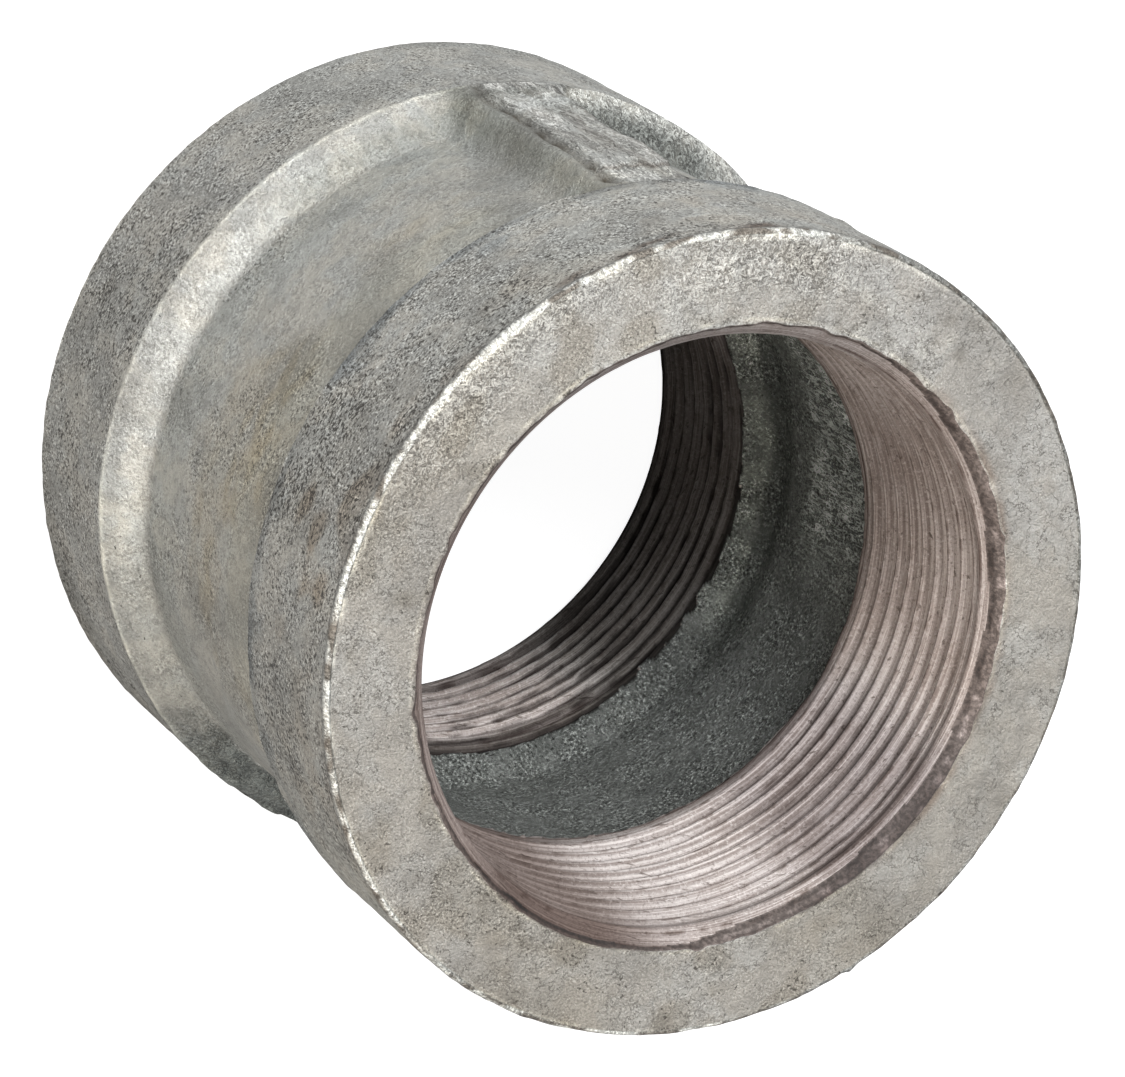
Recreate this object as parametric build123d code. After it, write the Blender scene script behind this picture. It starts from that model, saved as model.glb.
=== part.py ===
from build123d import *
import os
from math import sqrt

# A malleable iron pipe coupling with a 2 inch taper pipe thread in each end.
# The bore runs along Z. The far end stands on Z = 0 and the near end faces +Z.
# Lengths are in millimetres and angles in degrees, counted from +X towards +Y.

# Overall size and the plain bands round the two ends
overall_length = 67.6
near_band_radius = 38.4
far_band_radius = 39.2
near_band_width = 17.4
far_band_width = 17.0
outer_corner_radius = 1.1

# The narrower waist between the bands
waist_radius = 35.5
shoulder_fillet_radius = 4.4

# Two longitudinal ribs cast on the waist, opposite each other
rib_angles = (306.0, 126.0)
rib_width = 8.6
rib_top_radius = 38.2
rib_root_depth = 2.0

# Inside: thread bores at their mean crest radius, countersinks and the cast chamber
thread_crest_radius = 28.0
thread_depth = 22.0
countersink_radius = 29.6
countersink_depth = 1.6
chamber_radius = 30.7
chamber_shoulder_length = 2.4


def shoulder_arc(band_radius, band_edge_z, direction):
    """Concave arc from a band's edge down to the waist, which it meets tangentially."""
    centre_radius = waist_radius + shoulder_fillet_radius
    rise = centre_radius - band_radius
    run = sqrt(shoulder_fillet_radius ** 2 - rise ** 2)
    centre_z = band_edge_z + direction * run
    across = Vector(band_radius - centre_radius, band_edge_z - centre_z)
    down = Vector(waist_radius - centre_radius, 0)
    halfway = (across + down).normalized() * shoulder_fillet_radius
    start = (band_radius, band_edge_z)
    middle = (centre_radius + halfway.X, centre_z + halfway.Y)
    end = (waist_radius, centre_z)
    return ThreePointArc(start, middle, end)


def revolved(outline):
    """A solid of revolution about Z from a closed outline given in radius and height."""
    return revolve(Plane.XZ * make_face(outline), Axis.Z)


def outer_body():
    """The outside of the casting: two bands, their rounded outer corners and the waist."""
    corner = outer_corner_radius
    near_edge_z = overall_length - near_band_width
    far_shoulder = shoulder_arc(far_band_radius, far_band_width, 1)
    near_shoulder = shoulder_arc(near_band_radius, near_edge_z, -1)
    far_corner = RadiusArc((far_band_radius - corner, 0), (far_band_radius, corner), -corner)
    near_corner = RadiusArc(
        (near_band_radius, overall_length - corner),
        (near_band_radius - corner, overall_length),
        -corner,
    )
    outline = [
        Line((0, 0), far_corner @ 0),
        far_corner,
        Line(far_corner @ 1, far_shoulder @ 0),
        far_shoulder,
        Line(far_shoulder @ 1, near_shoulder @ 1),
        near_shoulder,
        Line(near_shoulder @ 0, near_corner @ 0),
        near_corner,
        Line(near_corner @ 1, (0, overall_length)),
        Line((0, overall_length), (0, 0)),
    ]
    return revolved(outline)


def through_bore():
    """The space inside: two countersunk thread bores with the wider chamber between them."""
    chamber_start = thread_depth + chamber_shoulder_length
    half = [
        (countersink_radius, 0),
        (thread_crest_radius, countersink_depth),
        (thread_crest_radius, thread_depth),
        (chamber_radius, chamber_start),
    ]
    other_half = [(radius, overall_length - height) for radius, height in reversed(half)]
    corners = [(0, 0)] + half + other_half + [(0, overall_length)]
    return revolved(Polyline(*corners, close=True))


def rib(angle):
    """One raised rib that joins the two bands, almost flush with the near band."""
    start_z = far_band_width
    rib_length = overall_length - near_band_width - far_band_width
    inner_radius = waist_radius - rib_root_depth
    blank_height = rib_top_radius - inner_radius
    blank = Box(blank_height, rib_width, rib_length, align=(Align.MIN, Align.CENTER, Align.MIN))
    blank = Pos(inner_radius, 0, start_z) * blank
    envelope = Pos(0, 0, start_z) * Cylinder(
        rib_top_radius, rib_length, align=(Align.CENTER, Align.CENTER, Align.MIN)
    )
    return Rot(0, 0, angle) * (blank & envelope)


def coupling_casting():
    """The whole casting, which is one piece of iron."""
    body = outer_body()
    for angle in rib_angles:
        body = body + rib(angle)
    return body - through_bore()


def main():
    os.makedirs("parts", exist_ok=True)
    export_step(coupling_casting(), "parts/coupling_casting.step")


main()
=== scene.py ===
from math import cos, radians, sin, tan

import bpy
import numpy as np
from mathutils import Matrix, Vector


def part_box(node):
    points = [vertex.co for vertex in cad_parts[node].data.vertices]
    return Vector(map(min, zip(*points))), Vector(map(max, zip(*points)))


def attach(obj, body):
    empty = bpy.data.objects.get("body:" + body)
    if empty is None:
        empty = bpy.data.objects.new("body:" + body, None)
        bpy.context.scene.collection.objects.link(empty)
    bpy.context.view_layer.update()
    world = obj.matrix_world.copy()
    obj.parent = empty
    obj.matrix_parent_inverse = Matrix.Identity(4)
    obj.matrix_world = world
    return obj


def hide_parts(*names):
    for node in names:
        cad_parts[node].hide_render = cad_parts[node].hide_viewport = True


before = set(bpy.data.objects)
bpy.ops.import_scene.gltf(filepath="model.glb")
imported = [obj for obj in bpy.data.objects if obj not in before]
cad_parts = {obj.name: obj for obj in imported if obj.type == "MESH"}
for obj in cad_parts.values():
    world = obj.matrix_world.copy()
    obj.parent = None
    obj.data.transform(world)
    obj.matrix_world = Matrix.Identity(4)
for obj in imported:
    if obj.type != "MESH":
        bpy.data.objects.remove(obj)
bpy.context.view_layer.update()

# Sizes from the frame, in millimetres
MM = 0.001
NODE = "coupling_casting"
low_corner, high_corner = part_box(NODE)
height = (high_corner.z - low_corner.z) / MM
widest_radius = high_corner.x / MM

# The outside, in millimetres. Lumps stand proud, so the bands start a little small.
lump_allowance = 0.14
box_clearance = 0.03
far_band_radius = widest_radius - lump_allowance
band_difference = 0.81
near_band_radius = far_band_radius - band_difference
far_band_width = 17.2
near_band_width = 17.4
corner_radius = 0.55
waist_depth = 2.8
waist_radius = near_band_radius - waist_depth
edge_rounding = 0.2
edge_slope = 36.0
foot_slope = 64.0
foot_radius = 1.9
far_edge_dip = 1.1
far_edge_dip_angle = 35.0
far_edge_dip_width = 30.0

# The taper thread: 11.5 turns to the inch, 1 in 16 on the diameter, right-handed
pitch = 25.4 / 11.5
taper = 1 / 32
crest_radius_at_face = 28.28
groove_depth = 0.74 * pitch
crest_flat = 0.1
root_flat = 0.08
first_groove_depth = (1.9, 4.6)
near_groove_phase = 0.55
far_groove_phase = 0.2

# The mouth and the cast surface inside
mouth_radius = 29.75
countersink_depth = 1.75
rough_cone_depth = 1.05
chip_angles = (43.0, 127.0, 230.0, 258.0)
cast_bore_radius = 26.4
chamber_radius = 30.6
near_cast_shoulder = (20.5, 25.3)
thread_fade = (20.3, 21.3)
far_cast_shoulder = (19.0, 22.4)
far_cast_swell = (21.9, 23.6)
far_swell_rise = 0.8
far_groove_place = 23.9
far_groove_rise = 0.12
near_tear_size = 0.01
far_tear_size = 0.03
cone_margin = 0.02
bore_zone_depth = 26.0

# The two ribs on the waist, as places across the rib from its centre line
seen_rib = 306.0
back_rib = 126.0
rib_angles = (seen_rib, back_rib)
rib_steep_edge = (-7.0, -5.2)
rib_gentle_edge = (2.8, 7.6)
rib_crease_place = 2.9
rib_crease_width = 0.45
rib_crease_depth = 0.65
rib_gutter_place = -7.0
rib_gutter_width = 0.5
rib_gutter_depth = 0.3
rib_flat_start = (-5.8, -4.8)
rib_flat_end = (2.0, 2.8)
rib_narrowing = (1.12, 0.42)
rib_step_height = 44.6
rib_step_depth = 0.4
rib_step_end = (46.5, 50)
rib_far_top = far_band_radius - 0.02
rib_near_top = near_band_radius - 0.03

# Single lumps on the outside: angle, height, half-width, half-length and rise
surface_lumps = (
    (279, 53.8, 0.8, 1.6, 0.22),
    (304.5, 46.6, 1.8, 1.2, 0.3),
    (152.5, 67.0, 0.5, 0.6, 0.35),
)

# Mesh density
columns = 600
rows_per_pitch = 14

# The angle of each column, in radians
theta = np.arange(columns) * 2 * np.pi / columns


def smooth_step(low, high, value):
    """0 below low, 1 above high, and a smooth rise between."""
    t = np.clip((value - low) / (high - low), 0, 1)
    return t * t * (3 - 2 * t)


def angle_from(centre_degrees):
    """Signed angle of each column from a centre, in radians."""
    return (theta - radians(centre_degrees) + np.pi) % (2 * np.pi) - np.pi


# ---------------------------------------------------------------- section outline


def straight(start, end, count):
    """Evenly spaced (radius, height) stations from start to just before end."""
    t = (np.arange(count) / count)[:, None]
    return np.array(start) * (1 - t) + np.array(end) * t


def direction(degrees):
    """Unit vector of the section at an angle from the radius towards +Z."""
    return np.array([cos(radians(degrees)), sin(radians(degrees))])


def arc(centre, radius, start_degrees, end_degrees, count):
    """Stations on an arc of the section, from its start to just before its end."""
    a = np.radians(start_degrees + (end_degrees - start_degrees) * np.arange(count) / count)
    return np.stack([centre[0] + radius * np.cos(a), centre[1] + radius * np.sin(a)], 1)


def shoulder(band_radius, edge_height, side):
    """Stations round a band's edge, down a crowned wall and round its foot to the waist."""
    setback = edge_rounding * tan(radians(edge_slope) / 2)
    edge_centre = (band_radius - edge_rounding, edge_height - side * setback)
    edge = arc(edge_centre, edge_rounding, 0, side * edge_slope, 2)
    wall_top = arc(edge_centre, edge_rounding, side * edge_slope, side * foot_slope, 1)[0]
    foot_rise = foot_radius * (1 - cos(radians(foot_slope)))
    wall_rise = wall_top[0] - waist_radius - foot_rise
    crown = wall_rise / (cos(radians(edge_slope)) - cos(radians(foot_slope)))
    crown_centre = wall_top - crown * direction(side * edge_slope)
    wall = arc(crown_centre, crown, side * edge_slope, side * foot_slope, 10)
    foot_centre = crown_centre + (crown + foot_radius) * direction(side * foot_slope)
    foot = arc(foot_centre, foot_radius, 180 + side * foot_slope, 180, 6)
    return np.concatenate([edge, wall, foot, [(waist_radius, foot_centre[1])]])


def section():
    """The closed outline as a list of (zone, stations), outside first and then the bore.

    The last number of each straight or arc is how many rows it gets.
    """
    c = corner_radius
    top = height
    near_edge = top - near_band_width
    far_wall = shoulder(far_band_radius, far_band_width, 1)
    near_wall = shoulder(near_band_radius, near_edge, -1)[::-1]
    bore_rows = round(bore_zone_depth / pitch * rows_per_pitch)
    inner = cast_bore_radius
    return [
        ("far_face", straight((mouth_radius, 0), (far_band_radius - c, 0), 22)),
        ("far_corner", arc((far_band_radius - c, c), c, -90, 0, 5)),
        ("far_band", straight((far_band_radius, c), far_wall[0], 40)),
        ("far_shoulder", far_wall[:-1]),
        ("waist", straight(far_wall[-1], near_wall[0], 54)),
        ("near_shoulder", near_wall[:-1]),
        ("near_band", straight(near_wall[-1], (near_band_radius, top - c), 42)),
        ("near_corner", arc((near_band_radius - c, top - c), c, 0, 90, 5)),
        ("near_face", straight((near_band_radius - c, top), (mouth_radius, top), 26)),
        ("near_bore", straight((inner, top), (inner, top - bore_zone_depth), bore_rows)),
        ("chamber", straight((inner, top - bore_zone_depth), (inner, bore_zone_depth), 32)),
        ("far_bore", straight((inner, bore_zone_depth), (inner, 0), bore_rows)),
    ]


zones = section()
zone_names = [name for name, _ in zones]
stations = np.concatenate([points for _, points in zones])
zone_of_row = np.concatenate([[k] * len(points) for k, (_, points) in enumerate(zones)])
rows = len(stations)
step_lengths = np.linalg.norm(np.roll(stations, -1, 0) - stations, axis=1)
row_place = np.concatenate([[0], np.cumsum(step_lengths)[:-1]])
outline_length = step_lengths.sum()


def in_zones(*names):
    """1 on the rows of the named zones and 0 elsewhere, as a column."""
    wanted = [zone_names.index(name) for name in names]
    return np.isin(zone_of_row, wanted).astype(float)[:, None]


# The regions, each 1 on its own rows and 0 elsewhere
bands = in_zones("far_band", "near_band")
near_band = in_zones("near_band")
corners = in_zones("far_corner", "near_corner")
faces = in_zones("far_face", "near_face")
near_face = in_zones("near_face")
shoulders = in_zones("far_shoulder", "near_shoulder")
far_shoulder = in_zones("far_shoulder")
waist = in_zones("waist")
around_waist = in_zones("far_shoulder", "waist", "near_shoulder")
near_bore = in_zones("near_bore")
far_bore = in_zones("far_bore")
chamber = in_zones("chamber")
bore = near_bore + far_bore + chamber
outside = 1 - bore


# ---------------------------------------------------------------- surface noise

grid_rows = 768
grid_step = outline_length / grid_rows
typical_radius = 35
column_step = 2 * np.pi * typical_radius / columns


def noise_field(seed, along, around):
    """Seamless noise with unit deviation. Its grains are along by around millimetres."""
    rng = np.random.RandomState(seed)
    white = np.fft.rfft2(rng.standard_normal((grid_rows, columns)))
    row_waves = np.fft.fftfreq(grid_rows)[:, None] * along / grid_step
    column_waves = np.fft.rfftfreq(columns)[None, :] * around / column_step
    white *= np.exp(-2 * np.pi ** 2 * (row_waves ** 2 + column_waves ** 2))
    field = np.fft.irfft2(white, s=(grid_rows, columns))
    field /= field.std()
    place = row_place / grid_step
    first = place.astype(int) % grid_rows
    share = (place - place.astype(int))[:, None]
    return field[first] * (1 - share) + field[(first + 1) % grid_rows] * share


# ---------------------------------------------------------------- the shape

# Levels are heights before the far band's edge dips, and heights are those after it.
levels = np.repeat(stations[:, 1:2], columns, 1)
radii = np.repeat(stations[:, 0:1], columns, 1)
on_outside = in_zones("far_band", "far_shoulder", "waist")
near_far_edge = smooth_step(3, 14, levels) * (1 - smooth_step(21, 33, levels)) * on_outside
dip = np.exp(-((angle_from(far_edge_dip_angle) / radians(far_edge_dip_width)) ** 2))
heights = levels - far_edge_dip * dip[None, :] * near_far_edge


def arc_share(centre_degrees, half_width, fade):
    """1 over an arc of the ring and 0 outside it, with soft ends, for each column."""
    away = np.abs(np.degrees(angle_from(centre_degrees)))
    return (1 - smooth_step(half_width, half_width + fade, away))[None, :]


def height_share(centre, half_width, fade):
    """1 over a span of levels and 0 outside it, with soft ends."""
    return 1 - smooth_step(half_width, half_width + fade, np.abs(levels - centre))


def thread_turns(depth, turn_offset, handed):
    """Turns of the thread passed at a depth below the face, for each row and column."""
    return handed * depth / pitch + theta[None, :] / (2 * np.pi) + turn_offset


def from_crest(turns):
    """0 on the crest of the thread, 1 at its root."""
    return np.abs(turns % 1 - 0.5) * 2


def thread_radius(depth, turns):
    """Radius cut by the tap at a depth below the face."""
    crest = crest_radius_at_face - taper * depth
    groove = np.clip((from_crest(turns) - crest_flat) / (1 - crest_flat - root_flat), 0, 1)
    full = smooth_step(*first_groove_depth, depth) * (1 - smooth_step(*thread_fade, depth))
    return crest + groove_depth * groove * full


def cast_radius(depth, shoulder_depths, lumps):
    """Radius of the cast surface at a depth below the face, before any cutting."""
    rise = smooth_step(*shoulder_depths, depth + lumps)
    return cast_bore_radius + (chamber_radius - cast_bore_radius) * rise


def countersink_radius(depth, chips):
    """Radius of the rough cone at the mouth."""
    slope = (mouth_radius - crest_radius_at_face) / countersink_depth
    return mouth_radius + chips * (1 - smooth_step(0.1, rough_cone_depth, depth)) - slope * depth


def lump(angle, place_height, around, along):
    """A round lump of unit height on the outside."""
    across = angle_from(angle)[None, :] * near_band_radius / around
    return np.exp(-across ** 2 - ((heights - place_height) / along) ** 2)


cast_lumps = 0.12 * noise_field(11, 2.0, 3.4) + 0.06 * noise_field(12, 0.5, 0.8)
mouth_chips = 0.07 * noise_field(13, 0.4, 0.5) + 0.05 * noise_field(14, 1.0, 3.5)
for chip_angle in chip_angles:
    mouth_chips = mouth_chips + 0.3 * lump(chip_angle, height, 0.9, 2.0)
near_depth = height - heights
far_depth = heights
near_turns = thread_turns(near_depth, near_groove_phase, 1)
far_turns = thread_turns(far_depth, far_groove_phase, -1)
thread_tears = noise_field(17, 0.22, 0.5)
near_cut = thread_radius(near_depth, near_turns) + near_tear_size * thread_tears
far_cut = thread_radius(far_depth, far_turns) + far_tear_size * thread_tears
# Each point takes its depth, thread and cast wall from the end that it is nearer to.
depth = np.where(heights > height / 2, near_depth, far_depth)
cut = np.where(heights > height / 2, near_cut, far_cut)
turns = np.where(heights > height / 2, near_turns, far_turns)
near_cast = cast_radius(near_depth, near_cast_shoulder, cast_lumps)
swell = far_swell_rise * (1 - smooth_step(*far_cast_swell, far_depth + 2 * cast_lumps))
swell = swell - far_groove_rise * np.exp(-((far_depth - far_groove_place) ** 2))
far_cast = cast_radius(far_depth, far_cast_shoulder, 1.5 * cast_lumps) - swell
cast = np.where(heights > height / 2, near_cast, far_cast)
cone = countersink_radius(depth, mouth_chips)
bore_surface = np.maximum(np.maximum(cut, cast), cone)
ring_edge = rough_cone_depth * (0.35 + 0.7 * arc_share(195, 50, 30))
ring_edge = ring_edge + 0.08 * noise_field(15, 2.0, 2.5)
on_cone = (near_bore + far_bore > 0) & (cone > cut - cone_margin) & (depth < ring_edge)
chipped_faces = faces * np.clip(1 - (radii - mouth_radius) / 1.5, 0, 1)
radii = np.where(bore > 0, bore_surface, radii + mouth_chips * chipped_faces)
cast_wall = chamber + (near_bore + far_bore) * (cast > cut)
threads = (near_bore + far_bore) * (cut >= cast)


def across_rib(rib_angle):
    """Distance across the rib from its centre line, with a wandering edge.

    On the steep side it is stretched, since the rib narrows there towards the near band.
    """
    across = angle_from(rib_angle)[None, :] * waist_radius + 0.25 * noise_field(21, 3.5, 2.0)
    stretch = rib_narrowing[0] + rib_narrowing[1] * rib_way_up()
    return np.where(across < 0, across * stretch, across)


def rib_way_up():
    """0 at the far band's edge, 1 at the near band's."""
    return np.clip((heights - far_band_width) / (height - near_band_width - far_band_width), 0, 1)


def groove_at(across, place, width):
    """1 along a line at a place across the rib, falling to 0 beside it."""
    return np.exp(-(((across - place) / width) ** 2))


def rib_flat(across):
    """1 on the torn top of the rib, falling to 0 at its edges."""
    return smooth_step(*rib_flat_start, across) * (1 - smooth_step(*rib_flat_end, across))


def torn_ridges():
    """Long sharp ridges that wander along the rib, in millimetres."""
    long_waves = noise_field(22, 3.4, 0.5)
    short_waves = noise_field(23, 1.3, 0.42)
    return 0.17 * (1 - 1.3 * np.abs(long_waves)) + 0.08 * short_waves


def rib_step():
    """How far the near end of each rib is sunk, in millimetres."""
    start = smooth_step(rib_step_height - 0.3, rib_step_height + 0.2, heights)
    return rib_step_depth * start * (1 - smooth_step(*rib_step_end, heights))


def add_ribs(radii):
    """Raises the ribs on the waist and its shoulders, with torn tops."""
    torn = torn_ridges()
    rib_top = rib_far_top + (rib_near_top - rib_far_top) * rib_way_up()
    for rib_angle in rib_angles:
        across = across_rib(rib_angle)
        rise = smooth_step(*rib_steep_edge, across) * (1 - smooth_step(*rib_gentle_edge, across))
        ridges = torn * (0.1 + 0.9 * rib_flat(across)) * smooth_step(17, 20, heights)
        top = rib_top + ridges - rib_step()
        lifted = around_waist * rise * np.maximum(top - radii, 0)
        rib_height = np.clip((radii + lifted - waist_radius) / 1.5, 0, 1)
        uneven = 0.6 + 0.4 * smooth_step(-0.6, 0.6, noise_field(24, 0.9, 0.7))
        crease = groove_at(across, rib_crease_place, rib_crease_width) * rib_height * uneven
        gutter = groove_at(across, rib_gutter_place, rib_gutter_width)
        sunk = rib_crease_depth * crease + rib_gutter_depth * gutter
        radii = radii + lifted - around_waist * sunk
    return radii


def add_lumps(radii):
    """Raises the single lumps on the outside."""
    for angle, place_height, around, along, rise in surface_lumps:
        radii = radii + outside * rise * lump(angle, place_height, around, along)
    return radii


radii = add_lumps(add_ribs(radii))


def points_of(radii, heights):
    """Cartesian points, in millimetres."""
    return np.stack([radii * np.cos(theta), radii * np.sin(theta), heights], -1)


def normals_of(points):
    """Outward normals of the closed grid, by central differences."""
    around = np.roll(points, -1, 1) - np.roll(points, 1, 1)
    along = np.roll(points, -1, 0) - np.roll(points, 1, 0)
    normals = np.cross(around, along)
    return normals / np.linalg.norm(normals, axis=2, keepdims=True)


knobs = noise_field(35, 0.55, 0.6)
torn_zinc = smooth_step(0.0, 0.9, noise_field(36, 2.0, 3.0))


def relief():
    """Height of the cast relief along the normal, in millimetres."""
    far_ring = cast_wall * height_share(21.4, 1.2, 0.8) * arc_share(215, 40, 20)
    lumps = noise_field(31, 7.0, 9.0)
    dents = noise_field(32, 1.3, 1.8)
    grain = noise_field(33, 0.3, 0.36)
    runs = noise_field(34, 2.4, 0.6)
    height_map = bands * (0.04 * lumps + 0.018 * dents + 0.018 * grain)
    height_map += shoulders * (0.04 * lumps + 0.02 * dents + 0.014 * grain + 0.04 * runs)
    height_map += waist * (0.06 * lumps + 0.015 * dents + 0.01 * grain)
    height_map += faces * (0.02 * lumps + 0.015 * dents + 0.022 * grain - 0.08)
    height_map += cast_wall * (0.1 * lumps + 0.05 * dents + 0.02 * grain)
    height_map += corners * (0.02 * dents + 0.025 * grain)
    height_map += knobs * faces * torn_zinc * (0.03 + 0.05 * arc_share(270, 80, 20))
    height_map += knobs * (0.07 * far_ring + 0.16 * far_shoulder * arc_share(94, 16, 14))
    return height_map


smooth_points = points_of(radii, heights)
points = smooth_points + normals_of(smooth_points) * relief()[..., None]
reach = np.linalg.norm(points[..., :2], axis=2, keepdims=True)
points[..., :2] *= np.minimum(1, (widest_radius - box_clearance) / reach)
points[..., 2] = np.clip(points[..., 2], 0, height)


# ---------------------------------------------------------------- stains, and painted light and shade


tint = np.ones((rows, columns, 3))
broken = smooth_step(-0.4, 1.2, noise_field(41, 0.5, 1.0))
patchy = smooth_step(-0.5, 1.3, noise_field(42, 3.0, 4.0))
spotty = smooth_step(0.2, 1.0, noise_field(43, 1.1, 1.6))
streaks = noise_field(44, 2.4, 0.45)
ragged = from_crest(turns) + 0.05 * noise_field(47, 0.25, 0.8) + 0.07 * noise_field(49, 0.9, 7.0)
on_waist = in_zones("waist", "near_shoulder")


def tint_by(share, colour):
    """Multiplies the tint by a colour, or by one number for a grey, as far as a share says."""
    share = np.clip(share, 0, 1)[..., None]
    tint[:] = tint * (1 - share + share * np.array(colour))


def stain_waist():
    """Yellow-brown clouds on the near half of the waist, bluish zinc on the far half."""
    away_from_rib = 1 - arc_share(seen_rib, 14, 10)
    clouds = height_share(37, 3, 7) * away_from_rib * (0.4 + 0.6 * arc_share(15, 22, 25))
    tint_by(on_waist * clouds * patchy * (0.4 + 0.6 * broken), (0.9, 0.83, 0.71))
    tint_by(on_waist * height_share(22, 2, 6) * 0.6, (1.0, 1.03, 1.04))
    tint_by(on_waist * height_share(43, 3, 3) * away_from_rib, (1.04, 1.03, 0.98))


def stain_shade_and_light_ribs():
    """Dark brown in the creases beside each rib, painted shade in its gutter and along its step,
    darker on its gentle slope and along its steep top edge, a painted highlight on its near end,
    and a bright torn top.
    """
    for rib_angle in rib_angles:
        across = across_rib(rib_angle)
        top = rib_flat(across)
        crease = groove_at(across, rib_crease_place, rib_crease_width)
        gutter = groove_at(across, rib_gutter_place, rib_gutter_width)
        top_edge = groove_at(across, -5.1, 0.3)
        step_line = height_share(rib_step_height, 0.1, 0.3) * top
        near_end = height_share(46.2, 0.7, 1.2) * top * (0.2 + 0.8 * broken)
        tint_by(around_waist * crease * (0.45 + 0.55 * broken), (0.2, 0.165, 0.12))
        # Painted shade in the gutter at the foot of the steep side.
        tint_by(around_waist * gutter * 0.8, (0.3, 0.29, 0.27))
        tint_by(around_waist * top_edge * 0.8, (0.4, 0.38, 0.36))
        tint_by(around_waist * groove_at(across, 4.8, 1.7) * 0.8, (0.66, 0.67, 0.62))
        # Painted shade along the step, and a painted highlight on the near end of the top.
        tint_by(around_waist * step_line * 0.8, (0.35, 0.31, 0.28))
        tint_by(around_waist * near_end * 0.6, (1.5, 1.48, 1.43))
        tint_by(around_waist * top * smooth_step(0.1, 1.4, streaks) * 0.8, (1.42, 1.4, 1.41))
        tint_by(around_waist * top * smooth_step(-0.4, -1.2, streaks) * 0.6, (0.66, 0.63, 0.61))


def paint_light_and_shade_behind_rib():
    """A painted highlight on the far shoulder's wall and a painted shadow on the waist at its
    foot, on the seen rib's steep side.
    """
    across = across_rib(seen_rib)
    behind = smooth_step(-32, -22, across) * (1 - smooth_step(-7.4, -6.4, across))
    past_wall = smooth_step(17.6, 19.2, levels)
    strip = past_wall * (1 - smooth_step(21, 29, levels))
    # Painted shadow on the waist at the wall's foot.
    tint_by(around_waist * behind * strip * 0.85, (0.35, 0.37, 0.36))
    # Painted highlight on the wall.
    tint_by(around_waist * behind * (1 - past_wall) * 0.6, (1.35, 1.35, 1.33))


def stain_and_light_bands():
    """Darker and paler patches, painted light on the side facing the key light, brown clusters,
    and a dark line by the near corner.
    """
    tint_by(bands * patchy * 0.35, (0.8, 0.8, 0.78))
    # Painted light: the bands paler where they face the key light.
    tint_by(bands * arc_share(305, 22, 30), 1.07)
    tint_by(near_band * arc_share(95, 25, 20), (1.1, 1.09, 1.06))
    tint_by(near_band * height_share(51.5, 1, 2.5) * spotty * 0.7, (0.66, 0.7, 0.74))
    tint_by(near_band * height_share(50.6, 0.5, 0.6) * (0.3 + 0.6 * broken), (0.62, 0.64, 0.66))
    brown = height_share(60, 3, 5) * (0.3 + 0.7 * arc_share(16, 10, 10))
    tint_by(near_band * brown * spotty * 0.6, (0.68, 0.54, 0.4))
    edge_line = height_share(66.2, 0.5, 0.5) * (0.3 + 0.7 * arc_share(308, 20, 10))
    tint_by(near_band * edge_line * (0.15 + 0.85 * broken), (0.33, 0.26, 0.22))


def stain_corners():
    """Bright worn lines along the outer corners, dark on the side away from the wear."""
    worn_arc = arc_share(35, 95, 14)
    breaks = smooth_step(-0.1, 0.7, noise_field(46, 0.3, 0.6))
    face_side = 1 - smooth_step(0.2, 0.5, depth)
    face_edge = near_face * smooth_step(37.35, 37.7, radii)
    tint_by(corners * (1 - breaks) * face_side * worn_arc, (1.75, 1.74, 1.72))
    tint_by(face_edge * worn_arc * (1 - smooth_step(0.0, 0.4, broken)), (1.5, 1.5, 1.48))
    tint_by(corners * breaks * 0.85, (0.42, 0.36, 0.31))
    tint_by(corners * (1 - worn_arc) * 0.8, 0.6)


def wear_and_highlight_far_edge():
    """A bright line along the far band's edge, partly worn zinc and partly a painted highlight on
    the crisp edge, except where the rib meets it.
    """
    off_rib = 1 - arc_share(seen_rib - 3, 8, 1)
    line = height_share(far_band_width, 0.12, 0.25) * in_zones("far_shoulder", "far_band")
    # Worn zinc and a painted highlight along the edge.
    tint_by(line * off_rib * (1 - 0.6 * broken) * arc_share(20, 60, 20), (1.6, 1.6, 1.56))


def paint_light_and_shade_far_shoulder():
    """Painted light and shade on the far shoulder: painted shade low on the wall where it faces
    the key light, painted light on the wall and a painted highlight along its foot, and painted
    shade on a rough arc on the other side, brighter on its knobs and darker between them.
    """
    wall = far_shoulder * (1 - smooth_step(19.7, 21.0, levels))
    lower_wall = smooth_step(18.0, 19.1, levels)
    foot = smooth_step(18.1, 18.9, levels) * arc_share(15, 42, 20)
    rough = wall * arc_share(94, 16, 12) * 0.4
    # Painted shade low on the wall where it faces the key light.
    tint_by(wall * arc_share(322, 16, 14) * lower_wall, (0.7, 0.71, 0.7))
    # Painted light on the wall, and a painted highlight along its foot.
    tint_by(wall * arc_share(355, 22, 14) * 0.8, 1.05)
    tint_by(wall * arc_share(52, 12, 12), (1.13, 1.13, 1.11))
    tint_by(wall * foot * 0.8, 1.3)
    # Painted shade on the rough arc.
    tint_by(wall * arc_share(97, 15, 18) * (1 - arc_share(back_rib, 8, 4)), (0.42, 0.45, 0.45))
    tint_by(rough * smooth_step(0.2, 1.4, knobs), (1.6, 1.6, 1.58))
    tint_by(rough * smooth_step(-0.3, -1.4, knobs), 0.6)


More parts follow.
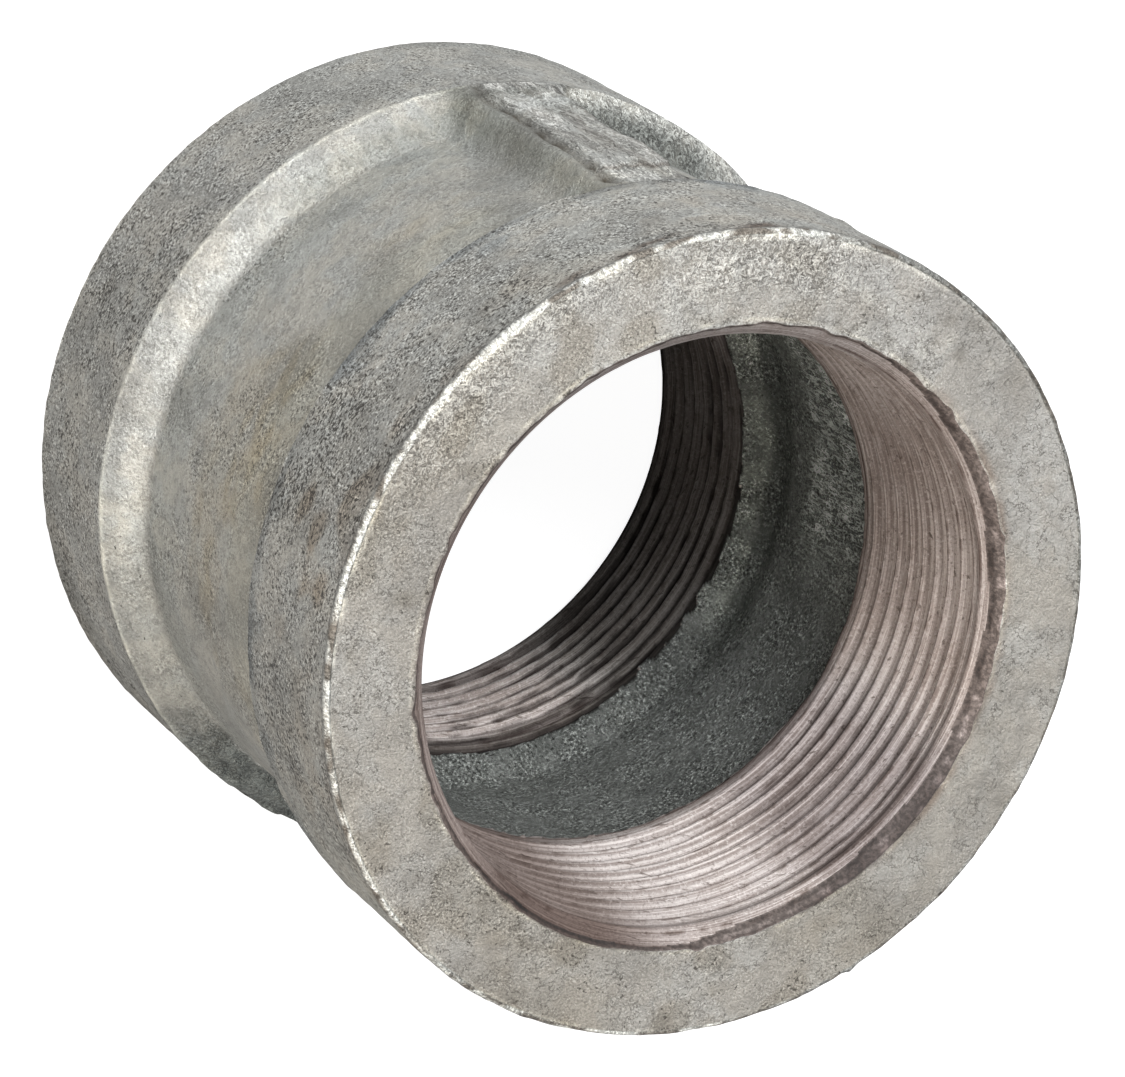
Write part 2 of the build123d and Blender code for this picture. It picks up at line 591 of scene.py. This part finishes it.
def stain_wear_and_light_faces():
    """Warm grime on the faces, paler torn zinc on one side of the near one, and a bright rim that
    is partly worn zinc and partly a painted highlight.
    """
    tint_by(faces * arc_share(110, 90, 60) * (0.4 + 0.6 * patchy), (0.86, 0.83, 0.78))
    tint_by(faces * spotty * (0.15 + 0.35 * arc_share(40, 90, 30)), (0.7, 0.66, 0.59))
    tint_by(near_face * arc_share(326, 26, 16) * 0.6, (1.14, 1.14, 1.13))
    torn_face = near_face * torn_zinc * (0.3 + 0.7 * arc_share(300, 50, 25))
    tint_by(torn_face * smooth_step(0.3, 1.5, knobs) * 0.7, (1.25, 1.25, 1.23))
    tint_by(torn_face * smooth_step(-0.7, -1.7, knobs) * 0.5, (0.66, 0.64, 0.6))
    # Worn zinc and a painted highlight along the rim, on the side facing the key light.
    worn_and_lit_rim = smooth_step(37.0, 37.7, radii) * arc_share(330, 50, 30)
    tint_by(near_face * worn_and_lit_rim * (1 - smooth_step(0.1, 0.6, broken)), (1.6, 1.6, 1.57))
    mouth_edge = 1 - smooth_step(0.2, 0.6, radii - mouth_radius)
    tint_by(chipped_faces * mouth_edge * (1 - broken), (1.6, 1.58, 1.5))
    torn_arc = arc_share(215, 35, 25) * (1 - smooth_step(0.3, 1.3, radii - mouth_radius))
    tint_by(near_face * torn_arc * (0.4 + 0.6 * broken), (0.72, 0.62, 0.56))


def paint_thread_shade_and_oil():
    """Dark roots and dark dots by the crests, partly black oil and partly painted shade, and a
    dark line where each thread runs out.
    """
    roots = smooth_step(0.8, 0.96, from_crest(turns))
    crests = 1 - smooth_step(0.04, 0.22, from_crest(turns))
    dots = smooth_step(0.5, 1.3, noise_field(45, 0.3, 0.5))
    run_out = np.exp(-((cut - cast) / 0.35) ** 2)
    # Black oil and painted shade in the roots and by the crests.
    tint_by(threads * roots * (0.5 + 0.45 * broken), (0.25, 0.19, 0.17))
    tint_by(threads * crests * dots * 0.8, (0.35, 0.29, 0.26))
    tint_by(threads * run_out * 0.8, (0.3, 0.25, 0.22))


def paint_near_thread_light_and_shade():
    """Painted warm light on one side of the near thread, painted shade on two arcs and in lines
    along its turns on one of them, and darker brown at its lip.
    """
    near_thread = threads * near_bore
    lip = 1 - smooth_step(1.8, 2.6, near_depth)
    shaded = smooth_step(0.4, 0.58, ragged) * arc_share(168, 12, 16)
    # Painted warm light.
    tint_by(near_thread * arc_share(235, 30, 20) * 0.6, (1.06, 0.97, 0.9))
    # Painted shade on two arcs.
    tint_by(near_thread * arc_share(171, 9, 14), (0.67, 0.65, 0.66))
    tint_by(near_thread * arc_share(98, 9, 20), (0.42, 0.37, 0.35))
    tint_by(near_thread * lip * arc_share(55, 50, 30) * 0.8, (0.6, 0.53, 0.5))
    # Painted shade in lines along the turns.
    tint_by(near_thread * shaded * 0.7, (0.35, 0.3, 0.28))


def paint_far_thread_light_shade_and_oil():
    """Painted shadow over one side of the far thread, painted shade in ragged lines along its
    turns, a painted highlight on its lit side and painted shade round the rest, and oily lines at
    its inner end.
    """
    far_thread = threads * far_bore
    deep_start = 0.4 - 0.12 * arc_share(130, 22, 30)
    deep = smooth_step(0, 0.16, ragged - deep_start) * (0.8 + 0.2 * broken)
    oily_lines = np.exp(-((far_depth - 18.1) / 0.22) ** 2) + smooth_step(18.9, 19.2, far_depth)
    # Painted shadow, cast by the near end's rim.
    tint_by(far_thread * arc_share(198, 34, 20), (0.46, 0.48, 0.47))
    # Painted shade in ragged lines along the turns.
    tint_by(far_thread * deep, (0.13, 0.11, 0.105))
    # A painted highlight on the lit side, and painted shade round the rest.
    tint_by(far_thread * arc_share(140, 14, 16), 1.3)
    tint_by(far_thread * (1 - arc_share(135, 18, 18)), (0.8, 0.78, 0.78))
    tint_by(far_thread * oily_lines * arc_share(150, 60, 20) * 0.9, (0.15, 0.14, 0.13))


def shadow_and_chips_mouths():
    """A painted shadow line between each countersink and its thread, and pale chips outside it.
    """
    inward = depth / ring_edge
    line = smooth_step(0.45, 0.7, inward) * (1 - smooth_step(1.05, 1.35, inward))
    # Painted shadow line where the countersink meets the thread.
    tint_by(on_cone * line * (0.45 + 0.55 * broken), (0.32, 0.28, 0.26))
    chips = smooth_step(0.2, 0.9, noise_field(48, 0.35, 0.6))
    chips = chips * (1 - smooth_step(0.4, 0.75, inward))
    tint_by(on_cone * chips * (0.15 + 0.85 * arc_share(190, 35, 20)), (2.2, 2.3, 2.4))


def paint_chamber_light_and_shade():
    """Painted light on one side of the chamber, paler on another arc, and a painted highlight on
    a ring and painted shade in a groove by the far thread.
    """
    bright_side = arc_share(233, 16, 22) * smooth_step(27, 32, levels)
    # Painted light on the lit side.
    tint_by(cast_wall * bright_side * (0.15 + 0.85 * broken), (2.5, 2.53, 2.5))
    tint_by(cast_wall * arc_share(270, 25, 15) * 0.6, (1.3, 1.3, 1.27))
    # Painted shade in the groove.
    groove = height_share(23.9, 0.8, 1.6) * arc_share(208, 22, 20)
    tint_by(cast_wall * groove * 0.8, (0.62, 0.64, 0.62))
    # Painted light.
    tint_by(cast_wall * arc_share(218, 26, 16), (1.25, 1.25, 1.24))
    # Painted highlight on the ring.
    ring = height_share(21.2, 0.8, 0.7) * arc_share(225, 28, 25)
    tint_by(cast_wall * ring * (0.4 + 0.6 * broken), (2.1, 2.1, 2.0))


stain_waist()
stain_shade_and_light_ribs()
paint_light_and_shade_behind_rib()
stain_and_light_bands()
stain_corners()
wear_and_highlight_far_edge()
paint_light_and_shade_far_shoulder()
stain_wear_and_light_faces()
paint_thread_shade_and_oil()
paint_near_thread_light_and_shade()
paint_far_thread_light_shade_and_oil()
shadow_and_chips_mouths()
paint_chamber_light_and_shade()


def torn_share():
    """Where the zinc is torn or drawn into fine wrinkles, from 0 to 1."""
    worn_face = near_face * arc_share(328, 32, 18) * smooth_step(31.0, 34.5, radii)
    share = corners * 0.6 + 0.8 * worn_face * (0.3 + 0.7 * patchy)
    for rib_angle in rib_angles:
        share = share + 0.7 * around_waist * rib_flat(across_rib(rib_angle))
    share = share + far_shoulder * (0.8 * arc_share(280, 18, 8) + 0.5 * arc_share(95, 15, 14))
    # In the chamber it follows the painted light, and its bright lines there are painted glints.
    share = share + chamber * arc_share(233, 18, 20) * smooth_step(27, 31, levels)
    return np.clip(share, 0, 1)


def pit_density():
    """How thickly each part of the surface is pitted, from 0 to 1."""
    brown = near_band * height_share(60, 3, 5) * arc_share(16, 12, 10) * spotty
    # Fewer pits where the bands face the key light, which paints them paler: painted light.
    fewer_pits_where_lit = 1 - 0.3 * arc_share(305, 22, 30)
    rough_arc = arc_share(35, 115, 25)
    density = bands * (0.78 + 0.3 * patchy) * fewer_pits_where_lit + 0.3 * brown
    density = density + waist * (0.22 + 0.3 * patchy * arc_share(35, 40, 25))
    density = density + (shoulders + corners) * 0.22
    density = density + faces * (0.15 + (0.25 + 0.25 * spotty) * rough_arc)
    return density + bore * 0.5


# ---------------------------------------------------------------- mesh


def grid_quads():
    """Quads of the closed grid, wound so that their normals point out of the iron."""
    i = np.arange(rows)[:, None]
    j = np.arange(columns)[None, :]
    next_i = (i + 1) % rows
    next_j = (j + 1) % columns
    this_row = [i * columns + j, i * columns + next_j]
    next_row = [next_i * columns + next_j, next_i * columns + j]
    return np.stack(this_row + next_row, -1).reshape(-1, 4)


def material_index(names):
    """Each quad's place in the list of material names."""
    in_bore = (near_bore + far_bore) > 0
    index = np.full((rows, columns), names.index("galvanised"))
    index = np.where(faces > 0, names.index("cut_face"), index)
    index = np.where(chamber > 0, names.index("cast_inside"), index)
    index = np.where(in_bore & (cut >= cast), names.index("machined_thread"), index)
    index = np.where(on_cone, names.index("countersink"), index)
    return np.where(in_bore & (cast > cut) & (cast > cone), names.index("cast_inside"), index)


def turn_circle():
    """Each point's place in its turn of the thread, as a point on a unit circle."""
    angle = 2 * np.pi * turns
    return np.stack([np.cos(angle), np.sin(angle), np.zeros_like(angle)], -1)


def add_layer(mesh, name, kind, field, values):
    """A named layer of values on the mesh's points, for its materials to read."""
    layer = mesh.attributes.new(name, kind, "POINT")
    layer.data.foreach_set(field, values.reshape(-1).astype(np.float32))


def build_casting(materials):
    """The casting's mesh, with its materials and the layers that they read."""
    mesh = bpy.data.meshes.new("coupling_body")
    mesh.from_pydata((points.reshape(-1, 3) * MM).tolist(), [], grid_quads().tolist())
    for material in materials.values():
        mesh.materials.append(material)
    index = material_index(list(materials))
    mesh.polygons.foreach_set("material_index", index.reshape(-1).astype(np.int32))
    mesh.polygons.foreach_set("use_smooth", np.ones(rows * columns, bool))
    tint_and_pits = np.concatenate([tint, pit_density()[..., None]], 2)
    add_layer(mesh, "tint", "FLOAT_COLOR", "color", tint_and_pits)
    add_layer(mesh, "torn", "FLOAT", "value", torn_share())
    add_layer(mesh, "turns", "FLOAT_VECTOR", "vector", turn_circle())
    mesh.update()
    casting = bpy.data.objects.new("coupling_body", mesh)
    bpy.context.scene.collection.objects.link(casting)
    return casting


# ---------------------------------------------------------------- materials


def new_material(name):
    """An empty node material with its Principled shader."""
    material = bpy.data.materials.new(name)
    material.use_nodes = True
    tree = material.node_tree
    return material, tree, tree.nodes["Principled BSDF"]


def place_in(tree):
    """Object coordinates."""
    return tree.nodes.new("ShaderNodeTexCoord").outputs["Object"]


def ring_place(tree, around, along):
    """Object coordinates scaled by one number round the ring and another along the bore."""
    split = tree.nodes.new("ShaderNodeSeparateXYZ")
    tree.links.new(place_in(tree), split.inputs[0])
    flat = tree.nodes.new("ShaderNodeCombineXYZ")
    tree.links.new(split.outputs["X"], flat.inputs["X"])
    tree.links.new(split.outputs["Y"], flat.inputs["Y"])
    scaled = tree.nodes.new("ShaderNodeVectorMath")
    scaled.operation = "SCALE"
    scaled.inputs["Scale"].default_value = around
    tree.links.new(flat.outputs[0], scaled.inputs[0])
    rise = tree.nodes.new("ShaderNodeMath")
    rise.operation = "MULTIPLY"
    rise.inputs[1].default_value = along
    tree.links.new(split.outputs["Z"], rise.inputs[0])
    joined = tree.nodes.new("ShaderNodeCombineXYZ")
    tree.links.new(rise.outputs[0], joined.inputs["Z"])
    total = tree.nodes.new("ShaderNodeVectorMath")
    tree.links.new(scaled.outputs[0], total.inputs[0])
    tree.links.new(joined.outputs[0], total.inputs[1])
    return total.outputs[0]


def noise(tree, place, scale, detail=4.0, rough=0.6, distortion=0.0):
    """A noise value."""
    texture = tree.nodes.new("ShaderNodeTexNoise")
    texture.inputs["Distortion"].default_value = distortion
    texture.inputs["Scale"].default_value = scale
    texture.inputs["Detail"].default_value = detail
    texture.inputs["Roughness"].default_value = rough
    tree.links.new(place, texture.inputs["Vector"])
    return texture.outputs["Fac"]


def ramp(tree, value, low, high, bottom=0.0, top=1.0):
    """A value mapped from low..high to bottom..top and held there."""
    mapped = tree.nodes.new("ShaderNodeMapRange")
    mapped.interpolation_type = "SMOOTHSTEP"
    mapped.inputs["From Min"].default_value = low
    mapped.inputs["From Max"].default_value = high
    mapped.inputs["To Min"].default_value = bottom
    mapped.inputs["To Max"].default_value = top
    tree.links.new(value, mapped.inputs["Value"])
    return mapped.outputs["Result"]


def mix(tree, share, first, second):
    """A colour mixed from two, each a colour or another node's output."""
    node = tree.nodes.new("ShaderNodeMix")
    node.data_type = "RGBA"
    tree.links.new(share, node.inputs["Factor"])
    colour_sockets = [s for s in node.inputs if s.type == "RGBA"]
    for socket, colour in zip(colour_sockets, (first, second)):
        if isinstance(colour, tuple):
            socket.default_value = (*colour, 1)
        else:
            tree.links.new(colour, socket)
    return [s for s in node.outputs if s.type == "RGBA"][0]


def bump(tree, value, distance, strength=1.0, normal=None):
    """A bump normal from a height value, with its distance in metres."""
    node = tree.nodes.new("ShaderNodeBump")
    node.inputs["Strength"].default_value = strength
    node.inputs["Distance"].default_value = distance
    tree.links.new(value, node.inputs["Height"])
    if normal is not None:
        tree.links.new(normal, node.inputs["Normal"])
    return node.outputs["Normal"]


def mesh_tint_and_pits(tree):
    """The mesh's colour multiplier, which holds its stains and its painted light and shade, and
    its pit density.
    """
    layer = tree.nodes.new("ShaderNodeAttribute")
    layer.attribute_name = "tint"
    return layer.outputs["Color"], layer.outputs["Alpha"]


def tinted(tree, colour, multiplier):
    """The colour multiplied by the mesh's tint, which holds its stains and its painted light and
    shade.
    """
    node = tree.nodes.new("ShaderNodeMix")
    node.data_type = "RGBA"
    node.blend_type = "MULTIPLY"
    node.inputs["Factor"].default_value = 1
    colour_sockets = [s for s in node.inputs if s.type == "RGBA"]
    tree.links.new(colour, colour_sockets[0])
    tree.links.new(multiplier, colour_sockets[1])
    return [s for s in node.outputs if s.type == "RGBA"][0]


def times_plus(tree, value, factor, addend):
    """value * factor + addend, where the addend is another value."""
    node = tree.nodes.new("ShaderNodeMath")
    node.operation = "MULTIPLY_ADD"
    tree.links.new(value, node.inputs[0])
    node.inputs[1].default_value = factor
    tree.links.new(addend, node.inputs[2])
    return node.outputs[0]


def thread_place(tree, lines, drift):
    """Coordinates that keep in step with the thread, so that marks follow its turns."""
    layer = tree.nodes.new("ShaderNodeAttribute")
    layer.attribute_name = "turns"
    drifting = tree.nodes.new("ShaderNodeVectorMath")
    drifting.operation = "SCALE"
    drifting.inputs["Scale"].default_value = drift
    tree.links.new(place_in(tree), drifting.inputs[0])
    total = tree.nodes.new("ShaderNodeVectorMath")
    total.operation = "MULTIPLY_ADD"
    tree.links.new(layer.outputs["Vector"], total.inputs[0])
    total.inputs[1].default_value = (lines, lines, lines)
    tree.links.new(drifting.outputs[0], total.inputs[2])
    return total.outputs[0]


def multiplied(tree, first, second):
    """The product of two values."""
    node = tree.nodes.new("ShaderNodeMath")
    node.operation = "MULTIPLY"
    tree.links.new(first, node.inputs[0])
    tree.links.new(second, node.inputs[1])
    return node.outputs[0]


def thin_lines(tree, value, half_width, level=0.5):
    """1 on thin winding lines, where a noise passes a level."""
    rising = ramp(tree, value, level - half_width, level)
    falling = ramp(tree, value, level + half_width, level)
    return multiplied(tree, rising, falling)


def pit_mask(tree, place, density):
    """1 in small pits drawn out a little round the ring and gathered in clusters."""
    dashes = noise(tree, ring_place(tree, around=2300, along=3800), 1.0, detail=2, rough=0.5)
    clusters = noise(tree, place, 330, detail=3)
    total = times_plus(tree, clusters, 0.35, dashes)
    total = times_plus(tree, density, 0.22, total)
    return ramp(tree, total, 0.975, 0.995)


def wrinkles(tree):
    """Fine wrinkles drawn out along the bore, present only where the zinc is torn."""
    layer = tree.nodes.new("ShaderNodeAttribute")
    layer.attribute_name = "torn"
    place = ring_place(tree, around=1400, along=340)
    swirls = noise(tree, place, 1.0, detail=3, distortion=0.7)
    return swirls, layer.outputs["Fac"]


def zinc_tones(tree, place, tones, mottle, pale, warm, dark, contrast):
    """Pale zinc with warmer and darker clouds."""
    cloud = noise(tree, place, 110)
    colour = mix(tree, ramp(tree, tones, 0.42, 0.58), pale, warm)
    colour = mix(tree, ramp(tree, cloud, 0.36, 0.6, 0.7, 0), colour, dark)
    return mix(tree, ramp(tree, mottle, 0.48, 0.64, 0, 0.7 * contrast), colour, dark)


def add_cracks(tree, colour, place, tones, crackle, pit_colour):
    """Fine winding cracks in parts of the zinc."""
    winding = noise(tree, place, 520, detail=3, rough=0.65)
    cracked_parts = ramp(tree, tones, 0.6, 0.45, 0, crackle)
    cracks = multiplied(tree, thin_lines(tree, winding, 0.02), cracked_parts)
    return mix(tree, cracks, colour, pit_colour)


def add_grain(tree, colour, place, grain, density, contrast, pit_colour, sparkle):
    """A dark grain, and a bright grain of painted glints, stronger in patches and where the
    surface is pitted.
    """
    patches = noise(tree, place, 300)
    share = ramp(tree, patches, 0.35, 0.62, 0.35 * contrast, 1.2 * contrast)
    share = multiplied(tree, share, ramp(tree, density, 0.1, 0.7, 0.35, 1.1))
    dark_grain = multiplied(tree, share, ramp(tree, grain, 0.51, 0.62))
    bright_grain = multiplied(tree, share, ramp(tree, grain, 0.46, 0.36))
    colour = mix(tree, dark_grain, colour, pit_colour)
    return mix(tree, bright_grain, colour, sparkle)


def add_tears(tree, colour, swirls, torn, grain, dark, pit_colour, sparkle):
    """Dark folds, and painted glints on bright edges and grain, where the zinc is torn."""
    folds = multiplied(tree, torn, ramp(tree, swirls, 0.52, 0.6, 0, 0.5))
    fold_lines = multiplied(tree, torn, thin_lines(tree, swirls, 0.025, 0.58))
    bright_lines = multiplied(tree, torn, thin_lines(tree, swirls, 0.05))
    bright_grain = multiplied(tree, torn, ramp(tree, grain, 0.47, 0.36))
    colour = mix(tree, folds, colour, dark)
    colour = mix(tree, fold_lines, colour, pit_colour)
    colour = mix(tree, bright_lines, colour, sparkle)
    return mix(tree, bright_grain, colour, sparkle)


def galvanised(
    name, pale, warm, dark, pit_colour, fineness, contrast, crackle, relief, metal, glint
):
    """Weathered zinc on a cast surface: mottled grey with small dark pits, a fine grain and
    painted glints.
    """
    material, tree, shader = new_material(name)
    place = place_in(tree)
    multiplier, density = mesh_tint_and_pits(tree)
    tones = noise(tree, place, 210, detail=3)
    mottle = noise(tree, place, 800, rough=0.7)
    grain = noise(tree, place, fineness, detail=3, rough=0.75)
    pits = pit_mask(tree, place, density)
    swirls, torn = wrinkles(tree)
    # The colour of the painted glints.
    sparkle = tuple(min(0.9, glint * c) for c in pale)
    colour = zinc_tones(tree, place, tones, mottle, pale, warm, dark, contrast)
    colour = add_cracks(tree, colour, place, tones, crackle, pit_colour)
    colour = add_grain(tree, colour, place, grain, density, contrast, pit_colour, sparkle)
    colour = mix(tree, ramp(tree, pits, 0, 1, 0, 0.92), colour, pit_colour)
    colour = add_tears(tree, colour, swirls, torn, grain, dark, pit_colour, sparkle)
    tree.links.new(tinted(tree, colour, multiplier), shader.inputs["Base Color"])
    shader.inputs["Metallic"].default_value = metal
    tree.links.new(ramp(tree, mottle, 0.3, 0.7, 0.33, 0.55), shader.inputs["Roughness"])
    normal = bump(tree, multiplied(tree, swirls, torn), 0.0014, 0.9)
    normal = bump(tree, mottle, 0.0004 * relief, 0.8, normal)
    normal = bump(tree, grain, 0.0002 * relief, 0.9, normal)
    normal = bump(tree, ramp(tree, pits, 0, 1, 1, 0), 0.0001, 0.8, normal)
    tree.links.new(normal, shader.inputs["Normal"])
    return material


def machined_thread():
    """Bare iron cut by a tap: pinkish grey with fine turned marks."""
    material, tree, shader = new_material("machined_thread")
    multiplier, _ = mesh_tint_and_pits(tree)
    marks = noise(tree, thread_place(tree, lines=3.4, drift=60), 1.0, rough=0.7)
    tears = noise(tree, thread_place(tree, lines=2.2, drift=1300), 1.0, detail=3)
    grain = noise(tree, place_in(tree), 3600, detail=3, rough=0.7)
    cloud = noise(tree, place_in(tree), 120, detail=3)
    clouds = ramp(tree, cloud, 0.35, 0.65)
    colour = mix(tree, clouds, (0.272, 0.237, 0.221), (0.344, 0.314, 0.302))
    colour = mix(tree, ramp(tree, marks, 0.51, 0.58, 0, 0.65), colour, (0.16, 0.127, 0.113))
    colour = mix(tree, ramp(tree, marks, 0.46, 0.4, 0, 0.6), colour, (0.52, 0.48, 0.46))
    colour = mix(tree, ramp(tree, grain, 0.54, 0.68, 0, 0.6), colour, (0.12, 0.095, 0.085))
    colour = mix(tree, ramp(tree, grain, 0.45, 0.33, 0, 0.45), colour, (0.56, 0.53, 0.51))
    colour = mix(tree, ramp(tree, tears, 0.63, 0.68, 0, 0.8), colour, (0.09, 0.07, 0.06))
    tree.links.new(tinted(tree, colour, multiplier), shader.inputs["Base Color"])
    shader.inputs["Specular IOR Level"].default_value = 0.25
    shader.inputs["Metallic"].default_value = 0.2
    # Rougher where the tint is dark, from its oil and its painted shade.
    oil_and_shade_share = ramp(tree, multiplier, 0.7, 0.1)
    roughness = times_plus(tree, oil_and_shade_share, 0.32, ramp(tree, marks, 0.3, 0.7, 0.46, 0.62))
    tree.links.new(roughness, shader.inputs["Roughness"])
    normal = bump(tree, tears, 0.00012, 0.7)
    normal = bump(tree, marks, 0.00008, 0.8, normal)
    normal = bump(tree, grain, 0.0001, 0.6, normal)
    tree.links.new(normal, shader.inputs["Normal"])
    return material


def countersink():
    """The rough cone at each mouth: dull brown-grey."""
    material, tree, shader = new_material("countersink")
    coarse = noise(tree, place_in(tree), 2400, rough=0.65)
    multiplier, _ = mesh_tint_and_pits(tree)
    colour = mix(tree, ramp(tree, coarse, 0.4, 0.64), (0.07, 0.056, 0.05), (0.165, 0.138, 0.126))
    tree.links.new(tinted(tree, colour, multiplier), shader.inputs["Base Color"])
    shader.inputs["Roughness"].default_value = 0.7
    shader.inputs["Metallic"].default_value = 0.1
    tree.links.new(bump(tree, coarse, 0.00025, 0.9), shader.inputs["Normal"])
    return material


# ---------------------------------------------------------------- object

materials = {
    "galvanised": galvanised(
        "galvanised",
        pale=(0.365, 0.37, 0.352),
        warm=(0.385, 0.375, 0.34),
        dark=(0.22, 0.22, 0.205),
        pit_colour=(0.035, 0.031, 0.026),
        fineness=3600,
        contrast=0.8,
        crackle=0.35,
        relief=1.25,
        metal=0.45,
        glint=1.8,
    ),
    "cut_face": galvanised(
        "cut_face",
        pale=(0.37, 0.365, 0.345),
        warm=(0.35, 0.335, 0.305),
        dark=(0.25, 0.24, 0.22),
        pit_colour=(0.085, 0.078, 0.068),
        fineness=4400,
        contrast=0.6,
        crackle=0.8,
        relief=1.5,
        metal=0.45,
        glint=1.8,
    ),
    "machined_thread": machined_thread(),
    "countersink": countersink(),
    "cast_inside": galvanised(
        "cast_inside",
        pale=(0.24, 0.252, 0.24),
        warm=(0.19, 0.2, 0.188),
        dark=(0.12, 0.128, 0.12),
        pit_colour=(0.035, 0.036, 0.033),
        fineness=3300,
        contrast=1.0,
        crackle=0.4,
        relief=2.4,
        metal=0.6,
        glint=2.3,
    ),
}
casting = build_casting(materials)
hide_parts(NODE)
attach(casting, "root")

# ---------------------------------------------------------------- camera, floor and lights

aim = Vector((-1.9, 0.5, height / 2)) * MM
view_azimuth = -0.12
view_elevation = 57.23
view_roll = -125.57
view_distance = 0.472
lens_length = 158.4
sensor_width = 36
light_distance = 0.8
floor_half_width = 6.0
floor_gap = 0.0001
floor_glow = 0.93
surroundings_colour = (0.95, 0.97, 1.0, 1)
surroundings_strength = 0.62


def view_axes():
    """Right, up and back of the camera, with its roll."""
    turn = Matrix.Rotation(radians(view_azimuth), 3, "Z")
    tilt = Matrix.Rotation(radians(-view_elevation), 3, "Y")
    back = turn @ tilt @ Vector((1, 0, 0))
    level_right = Vector((0, 0, 1)).cross(back).normalized()
    level_up = back.cross(level_right)
    roll = Matrix.Rotation(radians(-view_roll), 3, back)
    return roll @ level_right, roll @ level_up, back


def add_camera():
    """The camera, far off with a long lens."""
    right, up, back = view_axes()
    data = bpy.data.cameras.new("camera")
    data.lens = lens_length
    data.sensor_width = sensor_width
    data.clip_start = 0.01
    camera = bpy.data.objects.new("camera", data)
    bpy.context.scene.collection.objects.link(camera)
    turned = Matrix((right, up, back)).transposed()
    camera.matrix_world = Matrix.Translation(aim + back * view_distance) @ turned.to_4x4()
    bpy.context.scene.camera = camera


def add_area_light(name, azimuth, elevation, size, power, colour):
    """A square soft light that faces the object from a direction given in degrees."""
    data = bpy.data.lights.new(name, "AREA")
    data.energy = power
    data.size = size
    data.color = colour
    light = bpy.data.objects.new(name, data)
    bpy.context.scene.collection.objects.link(light)
    level = cos(radians(elevation))
    across, along = cos(radians(azimuth)), sin(radians(azimuth))
    toward = Vector((level * across, level * along, sin(radians(elevation))))
    light.location = aim + toward * light_distance
    light.rotation_euler = toward.to_track_quat("Z", "Y").to_euler()


def add_floor():
    """A wide pale floor just under the far end. Its glow is for the camera only."""
    signs = [(-1, -1), (1, -1), (1, 1), (-1, 1)]
    floor_points = [(x * floor_half_width, y * floor_half_width, -floor_gap) for x, y in signs]
    mesh = bpy.data.meshes.new("floor")
    mesh.from_pydata(floor_points, [], [(0, 1, 2, 3)])
    floor = bpy.data.objects.new("floor", mesh)
    bpy.context.scene.collection.objects.link(floor)
    material, tree, shader = new_material("floor")
    shader.inputs["Base Color"].default_value = (0.3, 0.3, 0.3, 1)
    shader.inputs["Roughness"].default_value = 0.9
    shader.inputs["Specular IOR Level"].default_value = 0.0
    glow = tree.nodes.new("ShaderNodeMath")
    glow.operation = "MULTIPLY"
    glow.inputs[1].default_value = floor_glow
    tree.links.new(tree.nodes.new("ShaderNodeLightPath").outputs["Is Camera Ray"], glow.inputs[0])
    shader.inputs["Emission Color"].default_value = (1, 1, 1, 1)
    tree.links.new(glow.outputs[0], shader.inputs["Emission Strength"])
    mesh.materials.append(material)


def add_world():
    """Even pale surroundings."""
    world = bpy.data.worlds.new("studio")
    world.use_nodes = True
    background = world.node_tree.nodes["Background"]
    background.inputs["Color"].default_value = surroundings_colour
    background.inputs["Strength"].default_value = surroundings_strength
    bpy.context.scene.world = world


add_camera()
add_floor()
add_world()
add_area_light(
    "key", azimuth=-54, elevation=50, size=0.35, power=11.0, colour=(1.0, 1.0, 1.0)
)
add_area_light(
    "low_fill", azimuth=65, elevation=8, size=0.5, power=2.6, colour=(1.0, 0.91, 0.8)
)
add_area_light(
    "high_fill", azimuth=50, elevation=46, size=0.4, power=2.0, colour=(1.0, 0.9, 0.8)
)
bpy.context.scene.view_settings.view_transform = "Standard"
